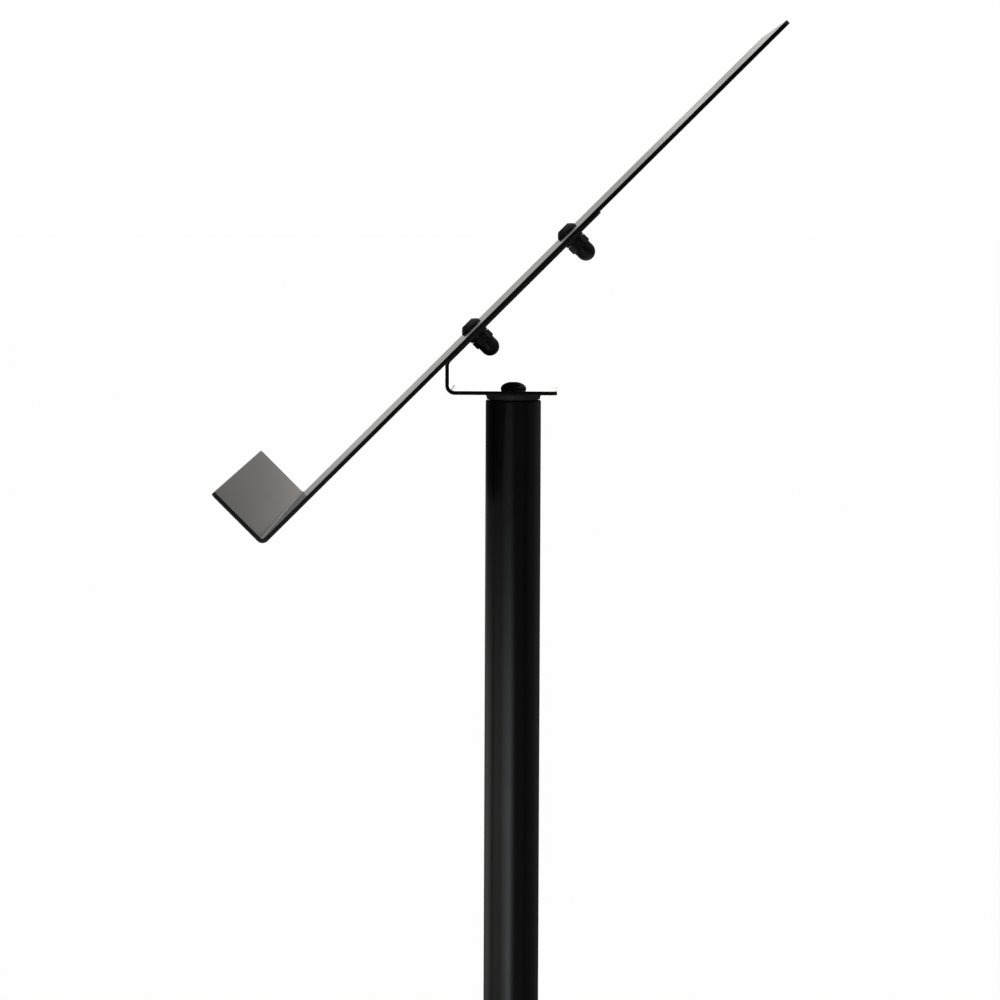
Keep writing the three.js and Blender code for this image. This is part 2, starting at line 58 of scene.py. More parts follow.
TRAY_SHEET = 2.4 * MM
TRAY_BEND_R = 1.6 * MM  # inside radius
BRACKET_SHEET = 2.2 * MM
BRACKET_BEND_R = 3.2 * MM
BRACKET_FLANGE = 63.45 * MM  # web's outer face to the bottom flange's free end
BLANK_CORNER_R = 3 * MM
SHEET_EDGE_R = 0.32 * MM  # powder-coated edges are never sharp
SCREW_HOLE_R = 3.4 * MM
SWIVEL_HOLE_R = 4.05 * MM
POST_WALL = 2 * MM
POST_RIM_R = 1.9 * MM
BASE_SHEET = 1.5 * MM
BASE_EDGE_R = 7 * MM
BASE_HOLE_R = 5.6 * MM
PAINT_FILM = 0.05 * MM  # left free under a clamped screw head
BROKEN_EDGE = 0.3 * MM  # fillet of a cut or turned edge

# ---------- camera ----------

CAMERA_DISTANCE = 2.238  # from the post's axis
CAMERA_TURN = math.radians(1.237)  # round the post, from +X towards +Y
CAMERA_SIDE = -0.00744  # left of the line through the post's axis
CAMERA_ABOVE_BRACKET = 0.13097
CAMERA_PITCH = math.radians(4.923)
CAMERA_ROLL = math.radians(0.236)
CAMERA_LENS = 140.73  # millimetres, like the sensor
CAMERA_SENSOR = 36

# ---------- studio ----------

BACKGROUND = (1.0, 1.0, 1.0)
AMBIENT = 1.1  # strength of the light that doesn't come by way of the gloss
FLOOR_RADIUS = 60
FLOOR_TONE = (0.9, 0.9, 0.9, 1)
DARK_STUDIO = 0.006  # what the gloss sees between the bright patches


@dataclass
class SoftBox:
    """A soft-edged bright patch of the studio, as the gloss sees it. Angles in degrees."""

    azimuth: float  # 0 is +X, 90 is +Y
    elevation: float
    half_width: float
    half_height: float
    side_softness: float
    top_softness: float
    strength: float
    tint: tuple = (1.0, 1.0, 1.0)


COOL = (0.92, 1.0, 1.06)
WARM = (1.0, 0.9, 0.84)
GREENISH = (0.98, 1.0, 0.96)

# 20 of the 26 rows came out of a least-squares fit to the photo's highlights, and three of
# those were then changed. The headings only say where each group lies in the studio.
SOFT_BOXES = [
    # small patches of backdrop: the first whitens the top of the bracket's flange, the others its bend
    SoftBox(181.2, 3.45, 0.95, 0.6, 0.3, 0.25, 1.2),
    SoftBox(178.9, 3.7, 1.1, 0.5, 0.4, 0.3, 1.2),
    SoftBox(176.3, -0.9, 0.45, 1.6, 0.25, 0.4, 1.4),
    # white backdrop, behind the stand as the camera sees it
    SoftBox(180, 3, 5, 10, 3, 4, 0.35, (1.0, 0.985, 0.955)),
    SoftBox(180, -4, 5, 2, 3, 1.5, 0.62),
    SoftBox(180, -3, 9, 8, 5.4, 4, 0.066),
    SoftBox(186, 0, 5, 3, 3, 2, 0.175),
    SoftBox(171.5, 0, 5, 3, 2, 2, 2.15, WARM),
    SoftBox(177.4, -3.2, 0.9, 1.2, 0.3, 0.5, 1.05),
    SoftBox(162, -3, 4, 8, 2.4, 4, 0.036),
    # lit floor in front
    SoftBox(-12, -18, 9, 8, 5.4, 5, 0.6, COOL),
    SoftBox(-18, -10, 20, 3, 12, 2, 0.52, COOL),
    SoftBox(12, -18, 45, 8, 12, 5, 0.093),
    # the reader's side of the room
    SoftBox(-36, -10, 45, 3, 12, 2, 0.41, GREENISH),
    SoftBox(-48, 0, 45, 30, 12, 8, 0.084, GREENISH),
    SoftBox(-84, -32, 4, 16, 2.4, 8, 0.78, GREENISH),
    SoftBox(-114, -10, 20, 3, 12, 2, 0.47, GREENISH),
    SoftBox(-144, 0, 9, 30, 5.4, 8, 0.13),
    SoftBox(-132, -3, 45, 8, 12, 4, 0.066),
    SoftBox(-156, -3, 9, 3, 5.4, 1.5, 0.05),
    # the far side
    SoftBox(108, 0, 45, 30, 12, 8, 0.064),
    SoftBox(120, -3, 20, 8, 12, 4, 0.044),
    SoftBox(30, -3, 20, 8, 12, 4, 0.047),
    # high lights and pale floor all round, mostly for the other views
    SoftBox(-90, 58, 200, 20, 30, 14, 0.5),
    SoftBox(-90, 26, 200, 10, 12, 8, 0.12),
    SoftBox(-90, -60, 200, 28, 12, 12, 0.45),
]


# ---------- meshes ----------

LARGE_FACE_WEIGHT = 80  # how far a large face rules the shading of its rounded edges
MOST_OF_SIDE = 0.48  # the share of a side that one fillet may take
CORNER_STEPS = 12
HOLE_POINTS = 48
FOLD_STEPS = 14
WASHER_STEPS = 72
WASHER_EDGE = 0.18 * MM
WASHER_SLANT = math.radians(9)
SAME_POINT = 1e-6  # points nearer than this are one
ON_PLANE = 1e-7
ROUNDING = 1e-9  # slack for sums of lengths


def finish_mesh(name, bm, material, smooth_angle=40):
    """A new object holding the bmesh, smooth-shaded, with flat faces kept flat."""
    bmesh.ops.recalc_face_normals(bm, faces=bm.faces)
    mesh = bpy.data.meshes.new(name)
    bm.to_mesh(mesh)
    bm.free()
    mesh.shade_smooth()
    mesh.set_sharp_from_angle(angle=math.radians(smooth_angle))
    mesh.materials.append(material)
    piece = bpy.data.objects.new(name, mesh)
    bpy.context.scene.collection.objects.link(piece)
    weighted = piece.modifiers.new("flat faces stay flat", "WEIGHTED_NORMAL")
    weighted.keep_sharp = True
    weighted.weight = LARGE_FACE_WEIGHT
    return piece


def arc(centre, radius, start, end, steps):
    """Points on an arc, as pairs. Angles in degrees."""
    angles = [math.radians(start + (end - start) * k / steps) for k in range(steps + 1)]
    return [(centre[0] + radius * math.cos(a), centre[1] + radius * math.sin(a)) for a in angles]


def hexagon_radius(across_flats, angle):
    """Distance from the centre to the side of a hexagon whose flats face +X and -X."""
    sector = math.radians(60)
    off_flat = (angle + sector / 2) % sector - sector / 2
    return across_flats / 2 / math.cos(off_flat)


@dataclass
class Ring:
    """One ring of a turned piece: radius and height, rounded over by `fillet`, cut to a hexagon."""

    r: float
    z: float
    fillet: float = 0
    flats: float = 0


def rounded_outline(rings, closed, steps=4):
    """The rings with each fillet turned into an arc of rings."""
    count = len(rings)
    made = []
    for i, ring in enumerate(rings):
        inner = closed or 0 < i < count - 1
        if not ring.fillet or not inner:
            made.append(ring)
            continue
        here = Vector((ring.r, ring.z))
        before = Vector((rings[i - 1].r, rings[i - 1].z)) - here
        after = Vector((rings[(i + 1) % count].r, rings[(i + 1) % count].z)) - here
        half = before.angle(after) / 2
        longest = min(before.length * MOST_OF_SIDE, after.length * MOST_OF_SIDE)
        reach = min(ring.fillet / math.tan(half), longest)
        radius = reach * math.tan(half)
        middle = (before.normalized() + after.normalized()).normalized()
        centre = here + middle * (radius / math.sin(half))
        start = here + before.normalized() * reach - centre
        end = here + after.normalized() * reach - centre
        turn = start.angle_signed(end)
        for k in range(steps + 1):
            spoke = start.copy()
            spoke.rotate(Matrix.Rotation(-turn * k / steps, 2))
            made.append(Ring(centre.x + spoke.x, centre.y + spoke.y, 0, ring.flats))
    return made


def turned(name, rings, material, segments=96, closed=False, place=None):
    """Turns rings round Z. An open outline starts and ends on the axis; a closed one never meets it."""
    bm = bmesh.new()
    loops = []
    for ring in rounded_outline(rings, closed):
        if ring.r <= 0:
            loops.append([bm.verts.new((0, 0, ring.z))])
            continue
        loop = []
        for k in range(segments):
            angle = 2 * math.pi * k / segments
            r = min(ring.r, hexagon_radius(ring.flats, angle)) if ring.flats else ring.r
            loop.append(bm.verts.new((r * math.cos(angle), r * math.sin(angle), ring.z)))
        loops.append(loop)
    pairs = list(zip(loops, loops[1:]))
    if closed:
        pairs.append((loops[-1], loops[0]))
    for low, high in pairs:
        for k in range(segments):
            after = (k + 1) % segments
            corners = [low[k % len(low)], low[after % len(low)]]
            corners += [high[after % len(high)], high[k % len(high)]]
            unique = list(dict.fromkeys(corners))
            if len(unique) > 2:
                bm.faces.new(unique)
    if place is not None:
        bm.transform(place)
    return finish_mesh(name, bm, material)


class Bend:
    """Maps a flat blank (x, along, depth) onto a sheet folded over corners in the YZ plane.

    Depth 0 is the face that the corners lie on, and every fold turns to the left.
    """

    def __init__(self, corners, sheet, inside_r):
        self.sheet = sheet
        self.inside_r = inside_r
        self.parts = []  # (start along, end along, kind, data)
        self.leg_start = []  # along-value at which each leg's first corner would lie
        along = 0.0
        outside_r = inside_r + sheet
        cut_back = 0.0
        for i in range(len(corners) - 1):
            leg = corners[i + 1] - corners[i]
            heading = leg.normalized()
            self.leg_start.append(along - cut_back)
            reach = 0.0
            turn = 0.0
            if i + 2 < len(corners):
                turn = heading.angle(corners[i + 2] - corners[i + 1])
                reach = outside_r * math.tan(turn / 2)
            straight = leg.length - cut_back - reach
            start = corners[i] + heading * cut_back
            self.parts.append((along, along + straight, "leg", (start, heading)))
            along += straight
            if turn:
                fold_start = start + heading * straight
                left = Vector((-heading.y, heading.x))
                length = (inside_r + sheet / 2) * turn
                data = (fold_start + left * outside_r, -left, turn)
                self.parts.append((along, along + length, "fold", data))
                along += length
            cut_back = reach
        self.length = along

    def folds(self):
        return [(low, high) for low, high, kind, _ in self.parts if kind == "fold"]

    def point(self, x, along, depth):
        for low, high, kind, data in self.parts:
            if along <= high + ROUNDING or high >= self.length - ROUNDING:
                break
        if kind == "leg":
            start, heading = data
            left = Vector((-heading.y, heading.x))
            flat = start + heading * (along - low) + left * depth
        else:
            centre, spoke, turn = data
            ray = spoke.copy()
            ray.rotate(Matrix.Rotation(turn * (along - low) / (high - low), 2))
            flat = centre + ray * (self.inside_r + self.sheet - depth)
        return Vector((x, flat.x, flat.y))


def add_outline(curve, points):
    spline = curve.splines.new("POLY")
    spline.points.add(len(points) - 1)
    for place, (x, y) in zip(spline.points, points):
        place.co = (x, y, 0, 1)
    spline.use_cyclic_u = True


def bent_sheet(name, bend, width, holes, material):
    """A folded sheet with rounded blank corners, softened edges and round holes [(leg, distance, r)]."""
    blank = bpy.data.curves.new(name + "_blank", "CURVE")
    blank.dimensions = "2D"
    blank.fill_mode = "BOTH"
    blank.extrude = bend.sheet / 2 - SHEET_EDGE_R
    blank.bevel_depth = SHEET_EDGE_R
    blank.bevel_resolution = 3
    blank.offset = -SHEET_EDGE_R
    across, along = width / 2 - BLANK_CORNER_R, bend.length - BLANK_CORNER_R
    corners = [(across, along, 0), (-across, along, 90)]
    corners += [(-across, BLANK_CORNER_R, 180), (across, BLANK_CORNER_R, 270)]
    outline = []
    for x, y, start in corners:
        outline += arc((x, y), BLANK_CORNER_R, start, start + 90, CORNER_STEPS)
    add_outline(blank, outline)
    last_angle = 360 - 360 / HOLE_POINTS
    for leg, distance, r in holes:
        centre = (0, bend.leg_start[leg] + distance)
        add_outline(blank, arc(centre, r, 0, last_angle, HOLE_POINTS - 1))
    flat = bpy.data.objects.new(name + "_blank", blank)
    bpy.context.scene.collection.objects.link(flat)
    bpy.context.view_layer.update()
    evaluated = flat.evaluated_get(bpy.context.evaluated_depsgraph_get())
    filled = bpy.data.meshes.new_from_object(evaluated)
    bm = bmesh.new()
    bm.from_mesh(filled)
    bpy.data.objects.remove(flat)
    bpy.data.meshes.remove(filled)
    bpy.data.curves.remove(blank)
    bmesh.ops.remove_doubles(bm, verts=bm.verts, dist=SAME_POINT)
    for low, high in bend.folds():
        for k in range(FOLD_STEPS + 1):
            cut = (0, low + (high - low) * k / FOLD_STEPS, 0)
            everything = bm.verts[:] + bm.edges[:] + bm.faces[:]
            bmesh.ops.bisect_plane(
                bm, geom=everything, dist=ON_PLANE, plane_co=cut, plane_no=(0, 1, 0)
            )
    for vert in bm.verts:
        vert.co = bend.point(vert.co.x, vert.co.y, vert.co.z + bend.sheet / 2)
    return finish_mesh(name, bm, material, smooth_angle=50)


def spring_washer(name, outer, bore, thickness, gap_angle, material, place):
    """A split ring of square wire, its ends cut a little askew. The gap faces local +Y."""
    bm = bmesh.new()
    inner_r, outer_r = bore + WASHER_EDGE, outer - WASHER_EDGE
    low_z, high_z = WASHER_EDGE, thickness - WASHER_EDGE
    section = [(inner_r, 0), (outer_r, 0), (outer, low_z), (outer, high_z)]
    section += [(outer_r, thickness), (inner_r, thickness), (bore, high_z), (bore, low_z)]
    gap = math.radians(gap_angle)
    loops = []
    for k in range(WASHER_STEPS + 1):
        share = k / WASHER_STEPS
        loop = []
        for r, z in section:
            skew = WASHER_SLANT * (z / thickness - 0.5)
            angle = math.pi / 2 + gap / 2 + share * (2 * math.pi - gap) + skew
            loop.append(bm.verts.new((r * math.cos(angle), r * math.sin(angle), z)))
        loops.append(loop)
    count = len(section)
    for low, high in zip(loops, loops[1:]):
        for k in range(count):
            after = (k + 1) % count
            bm.faces.new([low[k], low[after], high[after], high[k]])
    bm.faces.new(loops[0])
    bm.faces.new(loops[-1])
    bm.transform(place)
    return finish_mesh(name, bm, material)


# ---------- materials ----------

NOISE_LOW, NOISE_HIGH = 0.3, 0.7  # where most of a noise's values lie


def new_material(name, base_color, metallic=0.0, ior=1.5, specular=0.5):
    material = bpy.data.materials.new(name)
    material.use_nodes = True
    shader = material.node_tree.nodes["Principled BSDF"]
    shader.inputs["Base Color"].default_value = (*base_color, 1)
    shader.inputs["Metallic"].default_value = metallic
    shader.inputs["IOR"].default_value = ior
    shader.inputs["Specular IOR Level"].default_value = specular
    return material, shader


def noise(material, size, detail=2.0, stretch=(1, 1, 1)):
    """A noise socket whose features are about `size` metres across, in the object's own space."""
    nodes, links = material.node_tree.nodes, material.node_tree.links
    place = nodes.new("ShaderNodeTexCoord")
    scaled = nodes.new("ShaderNodeMapping")
    scaled.inputs["Scale"].default_value = stretch
    texture = nodes.new("ShaderNodeTexNoise")
    texture.inputs["Scale"].default_value = 1 / size
    texture.inputs["Detail"].default_value = detail
    links.new(place.outputs["Object"], scaled.inputs["Vector"])
    links.new(scaled.outputs["Vector"], texture.inputs["Vector"])
    return texture.outputs["Fac"]


def spread(material, socket, low, high):
    """Maps the usual middle range of a noise onto low..high."""
    node = material.node_tree.nodes.new("ShaderNodeMapRange")
    node.inputs["From Min"].default_value = NOISE_LOW
    node.inputs["From Max"].default_value = NOISE_HIGH
    node.inputs["To Min"].default_value = low
    node.inputs["To Max"].default_value = high
    material.node_tree.links.new(socket, node.inputs["Value"])
    return node.outputs["Result"]


def sum_of(material, first, second):
    node = material.node_tree.nodes.new("ShaderNodeMath")
    node.operation = "ADD"
    material.node_tree.links.new(first, node.inputs[0])
    material.node_tree.links.new(second, node.inputs[1])
    return node.outputs["Value"]


def tone(material, shader, socket, dark, light):
    """Varies the base colour between two tones, as a noise does."""
    share = spread(material, socket, 0, 1)
    node = material.node_tree.nodes.new("ShaderNodeMix")
    node.data_type = "RGBA"
    node.inputs["A"].default_value = (*dark, 1)
    node.inputs["B"].default_value = (*light, 1)
    material.node_tree.links.new(share, node.inputs["Factor"])
    material.node_tree.links.new(node.outputs["Result"], shader.inputs["Base Color"])


def relief(material, shader, layers):
    """Stacks bumps [(socket, depth in metres)] into the shader's normal."""
    nodes, links = material.node_tree.nodes, material.node_tree.links
    below = None
    for socket, depth in layers:
        bump = nodes.new("ShaderNodeBump")
        bump.inputs["Strength"].default_value = 1
        bump.inputs["Distance"].default_value = depth
        links.new(socket, bump.inputs["Height"])
        if below is not None:
            links.new(below, bump.inputs["Normal"])
        below = bump.outputs["Normal"]
    links.new(below, shader.inputs["Normal"])


def powder_coat(name, smoothest, roughest, unevenness):
    """Black satin powder coat: orange peel, fine grain and a slight unevenness of gloss.

    The roughness wanders between the two values; `unevenness` scales the grain and the relief.
    """
    material, shader = new_material(name, (0.0012, 0.0012, 0.0012))
    grain = noise(material, 0.7 * MM, detail=3)
    peel = noise(material, 2.2 * MM, detail=1)
    flow = noise(material, 60 * MM, detail=3)
    fleck = 0.012 * unevenness
    fine = spread(material, grain, -fleck, fleck)
    gloss = sum_of(material, fine, spread(material, flow, smoothest, roughest))
    material.node_tree.links.new(gloss, shader.inputs["Roughness"])
    tone(material, shader, grain, dark=(0.0007, 0.0007, 0.0007), light=(0.0019, 0.0019, 0.0018))
    peel_depth, grain_depth = 0.0012 * MM * unevenness, 0.0009 * MM * unevenness
    relief(material, shader, [(peel, peel_depth), (grain, grain_depth)])
    return material


def black_hardware():
    """Blackened screws and nuts: smoother than the coat, with faint turning marks and rubbed spots."""
    material, shader = new_material("black_hardware", (0.003, 0.003, 0.003), specular=0.25)
    rubbed = noise(material, 3 * MM, detail=4)
    pits = noise(material, 0.35 * MM, detail=2)
    material.node_tree.links.new(spread(material, rubbed, 0.24, 0.4), shader.inputs["Roughness"])
    tone(material, shader, rubbed, dark=(0.0015, 0.0014, 0.0013), light=(0.005, 0.0045, 0.004))
    relief(material, shader, [(pits, 0.006 * MM)])
    return material


def black_nylon():
    """Moulded end cap: finely textured plastic."""
    material, shader = new_material("black_nylon", (0.002, 0.002, 0.002), ior=1.53)
    texture = noise(material, 0.3 * MM, detail=2)
    patches = noise(material, 8 * MM, detail=2)
    material.node_tree.links.new(spread(material, patches, 0.36, 0.46), shader.inputs["Roughness"])
    tone(material, shader, texture, dark=(0.0012, 0.0012, 0.0012), light=(0.003, 0.003, 0.003))
    relief(material, shader, [(texture, 0.008 * MM)])
    return material


def zinc_steel():
    """Bright zinc plate, dulled in patches."""
    material, shader = new_material("zinc_steel", (0.6, 0.61, 0.62), metallic=1.0)
    bloom = noise(material, 4 * MM, detail=5)
    brushed = noise(material, 0.4 * MM, detail=2, stretch=(1, 1, 6))
    material.node_tree.links.new(spread(material, bloom, 0.22, 0.42), shader.inputs["Roughness"])
    tone(material, shader, bloom, dark=(0.5, 0.51, 0.53), light=(0.7, 0.7, 0.69))
    relief(material, shader, [(brushed, 0.006 * MM)])
    return material


def cast_iron():
    """Unpainted sand casting: rough skin with darker scale and a little brown."""
    material, shader = new_material("cast_iron", (0.06, 0.055, 0.05), metallic=0.4)
    sand = noise(material, 1.2 * MM, detail=4)
    scale = noise(material, 35 * MM, detail=5)
    material.node_tree.links.new(spread(material, sand, 0.62, 0.85), shader.inputs["Roughness"])
    tone(material, shader, scale, dark=(0.035, 0.034, 0.034), light=(0.085, 0.07, 0.058))
    relief(material, shader, [(scale, 0.3 * MM), (sand, 0.18 * MM)])
    return material


def rubber():
    """Matt black feet with a dusty bloom."""
    material, shader = new_material("rubber", (0.014, 0.014, 0.014), ior=1.45)
    dust = noise(material, 6 * MM, detail=5)
    skin = noise(material, 0.5 * MM, detail=2)
    material.node_tree.links.new(spread(material, dust, 0.68, 0.86), shader.inputs["Roughness"])
    tone(material, shader, dust, dark=(0.01, 0.01, 0.01), light=(0.03, 0.029, 0.027))
    relief(material, shader, [(skin, 0.02 * MM)])
    return material


POWDER = powder_coat("powder_coat", 0.115, 0.15, 1)
# the bracket's coat is the smoother one: its flange mirrors the backdrop as clean white
BRACKET_POWDER = powder_coat("smooth_powder_coat", 0.05, 0.065, 0.5)
HARDWARE, NYLON = black_hardware(), black_nylon()
ZINC, IRON, RUBBER = zinc_steel(), cast_iron(), rubber()


def attach(piece, node, body):
    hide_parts(node)
    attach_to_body(piece, body)
    return piece


# ---------- tray ----------


def make_tray():
    low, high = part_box("reading_tray")
    outside_r = TRAY_BEND_R + TRAY_SHEET
    corner_z = low.z - outside_r * (math.sqrt(2) - 1)
    plate = (high.z - corner_z) / SLOPE.z - TRAY_SHEET
    corner = Vector((high.y - plate * SLOPE.y, corner_z))
    ledge = (corner.x - low.y) / SLOPE.y
    slope, normal = SLOPE.yz, NORMAL.yz
    bend = Bend([corner + normal * ledge, corner, corner + slope * plate], TRAY_SHEET, TRAY_BEND_R)
    holes = [(1, (centre.yz - corner).dot(slope), SCREW_HOLE_R) for centre in screw_centres()]
    tray = bent_sheet("tray_sheet", bend, high.x - low.x, holes, POWDER)
    attach(tray, "reading_tray", "head")
    return corner


def screw_centres():
    """A point on each tray screw's axis: the middle of its spring washer."""
    boxes = [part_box("lock_washer_" + place) for place in ("lower", "upper")]
    return [(low + high) / 2 for low, high in boxes]


# ---------- bracket ----------


def make_bracket(tray_corner):
    low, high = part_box("support_bracket")
    slope, normal = SLOPE.yz, NORMAL.yz
    gap = (high.yz - tray_corner).dot(normal) + BRACKET_SHEET / 2  # upper face against the tray
    end = (high.yz - tray_corner).dot(slope) - BRACKET_SHEET / 2
    face = tray_corner + normal * gap
    knee = Vector((low.y, face.y + (low.y - face.x) * math.tan(TILT)))
    heel, toe = Vector((low.y, low.z)), Vector((low.y + BRACKET_FLANGE, low.z))
    corners = [face + slope * end, knee, heel, toe]
    bend = Bend(corners, BRACKET_SHEET, BRACKET_BEND_R)
    holes = [(0, (corners[0] - centre.yz).dot(slope), SCREW_HOLE_R) for centre in screw_centres()]
    holes.append((2, -low.y, SWIVEL_HOLE_R))
    bracket = bent_sheet("bracket_strip", bend, high.x - low.x, holes, BRACKET_POWDER)
    attach(bracket, "support_bracket", "head")


# ---------- tray screws, washers and nuts ----------


def on_slope(point, tray_corner):
    """The frame of a screw: Z out of the reading face, zero on the plate's underside."""
    height = (point.yz - tray_corner).dot(NORMAL.yz)
    origin = point - NORMAL * height
    turn = Matrix((Vector((1, 0, 0)), SLOPE, NORMAL)).transposed().to_4x4()
    return Matrix.Translation(origin) @ turn


def tray_screw(name, place):
    """A button-head screw: straight rim, rounded shoulder, flat top with a hexagon socket."""
    shank_r, shank_chamfer, length = 3.1 * MM, 0.7 * MM, 15.85 * MM
    head_r, rim_height = 6.6 * MM, 1.4 * MM
    shoulder_r, shoulder_height = 5.65 * MM, 2.5 * MM
    top_r, head_height = 3.75 * MM, 4.25 * MM
    under_edge, rim_edge, shoulder_edge, mouth_edge = 0.12 * MM, 0.35 * MM, 1.2 * MM, 0.1 * MM
    mouth_r, mouth_depth = 2.55 * MM, 0.25 * MM
    socket_r, socket_flats, socket_depth, drill_cone = 2.4 * MM, 4 * MM, 2.4 * MM, 0.6 * MM
    under_head = TRAY_SHEET + PAINT_FILM
    tip = under_head - length
    top = under_head + head_height
    floor = top - socket_depth
    rings = [
        Ring(0, tip),
        Ring(shank_r - shank_chamfer, tip),
        Ring(shank_r, tip + shank_chamfer),
        Ring(shank_r, under_head),
        Ring(head_r, under_head, under_edge),
        Ring(head_r, under_head + rim_height, rim_edge),
        Ring(shoulder_r, under_head + shoulder_height, shoulder_edge),
        Ring(top_r, top, rim_edge),
        Ring(mouth_r, top, mouth_edge),
        Ring(socket_r, top - mouth_depth, 0, socket_flats),
        Ring(socket_r, floor, 0, socket_flats),
        Ring(0, floor - drill_cone),
    ]
    return turned(name, rings, HARDWARE, place=place)


def cap_nut(name, place):
    """An acorn nut: a hexagon with a rounded chamfer at its lower end, and a long dome."""
    seat = -4 * MM  # lower face of the spring washer
    flats, hex_height, worn_corner = 11.1 * MM, 4.9 * MM, 0.1 * MM
    seat_inset, seat_bevel = 0.15 * MM, 0.35 * MM
    bore_r, bore_depth, drill_cone, countersink = 3.3 * MM, 10 * MM, 1 * MM, 0.5 * MM
    chamfer_width, chamfer_height, chamfer_steps, chamfer_curve = 1.05 * MM, 0.62 * MM, 6, 1.3
    sides_end = 1.2 * MM  # above the hexagon's lower face
    neck_inset, neck_drop, neck_edge = 0.2 * MM, 0.02 * MM, 0.1 * MM
    dome_r, dome_edge, total_height, dome_steps = 5.4 * MM, 0.25 * MM, 13.5 * MM, 14
    corner_r = flats / math.sqrt(3) - worn_corner
    hex_end = seat - hex_height
    neck_z = hex_end - neck_drop
    dome_z = seat - total_height + dome_r
    rings = [
        Ring(0, seat - bore_depth - drill_cone),
        Ring(bore_r, seat - bore_depth),
        Ring(bore_r, seat - countersink),
        Ring(bore_r + countersink, seat),
        Ring(flats / 2 - seat_inset, seat),
        Ring(corner_r, seat - seat_bevel, 0, flats),
        Ring(corner_r, hex_end + sides_end, 0, flats),
    ]
    for k in range(chamfer_steps + 1):
        share = k / chamfer_steps
        inset = chamfer_width * share**chamfer_curve
        rings.append(Ring(corner_r - inset, hex_end + chamfer_height * (1 - share), 0, flats))
    rings.append(Ring(flats / 2 - neck_inset, neck_z, neck_edge))
    rings.append(Ring(dome_r, neck_z, dome_edge))
    rings += [Ring(r, z) for r, z in arc((0, dome_z), dome_r, 0, -90, dome_steps)]
    rings[-1].r = 0
    return turned(name, rings, HARDWARE, place=place)


def make_tray_fasteners(tray_corner):
    washer_r, washer_bore, washer_thickness, washer_gap = 6.2 * MM, 3.4 * MM, 1.5 * MM, 12
    washer_z = -3.9 * MM
    for which, centre in zip(("lower", "upper"), screw_centres()):
        place = on_slope(centre, tray_corner)
        screw = tray_screw("button_screw_" + which, place)
        attach(screw, "tray_screw_" + which, "head")
        nut = cap_nut("acorn_nut_" + which, place)
        attach(nut, "cap_nut_" + which, "head")
        washer = spring_washer(
            "split_washer_" + which,
            washer_r,
            washer_bore,
            washer_thickness,
            washer_gap,
            HARDWARE,
            place @ Matrix.Translation((0, 0, washer_z)),
        )
        attach(washer, "lock_washer_" + which, "head")


# ---------- top of the post ----------


def make_swivel():
    """A bolt with an oval head and a hexagon socket."""
    low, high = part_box("swivel_bolt")
    shank_r, shank_chamfer = 3.97 * MM, 0.9 * MM
    rim_inset, rim_angle, head_steps = 0.12 * MM, 4, 18
    mouth_r, mouth_depth = 2.7 * MM, 0.6 * MM
    socket_r, socket_flats, socket_depth, drill_cone = 2.6 * MM, 4.4 * MM, 2.7 * MM, 0.7 * MM
    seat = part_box("support_bracket")[0].z + BRACKET_SHEET
    head_r = (high.x - low.x) / 2
    rise = high.z - seat
    mouth_angle = math.degrees(math.acos(mouth_r / head_r))
    floor = high.z - socket_depth
    rings = [
        Ring(0, low.z),
        Ring(shank_r - shank_chamfer, low.z),
        Ring(shank_r, low.z + shank_chamfer),
        Ring(shank_r, seat + PAINT_FILM),
        Ring(head_r - rim_inset, seat + PAINT_FILM),
    ]
    oval = arc((0, 0), 1, rim_angle, mouth_angle, head_steps)
    rings += [Ring(head_r * r, seat + rise * z) for r, z in oval]
    rings += [
        Ring(socket_r, high.z - mouth_depth, 0, socket_flats),
        Ring(socket_r, floor, 0, socket_flats),
        Ring(0, floor - drill_cone),
    ]
    bolt = turned("round_head_bolt", rings, HARDWARE)
    attach(bolt, "swivel_bolt", "stand")


def make_lock_nut():
    """A hexagon nut with the round collar of its nylon ring at the bottom."""
    low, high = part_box("swivel_lock_nut")
    bore_r, collar_r, collar_edge = 4.1 * MM, 5.9 * MM, 0.7 * MM
    hex_height, bevel, top_inset, bottom_inset = 6 * MM, 0.6 * MM, 0.2 * MM, 0.1 * MM
    fine_edge = 0.1 * MM
    flats = high.x - low.x
    corner_r = flats / math.sqrt(3)
    hex_low = high.z - hex_height
    rings = [
        Ring(bore_r, high.z, BROKEN_EDGE),
        Ring(flats / 2 - top_inset, high.z),
        Ring(corner_r, high.z - bevel, 0, flats),
        Ring(corner_r, hex_low + bevel, 0, flats),
        Ring(flats / 2 - bottom_inset, hex_low, fine_edge),
        Ring(collar_r, hex_low, fine_edge),
        Ring(collar_r, low.z, collar_edge),
        Ring(bore_r, low.z, BROKEN_EDGE),
    ]
    nut = turned("nylon_ring_nut", rings, ZINC, segments=72, closed=True)
    attach(nut, "swivel_lock_nut", "stand")


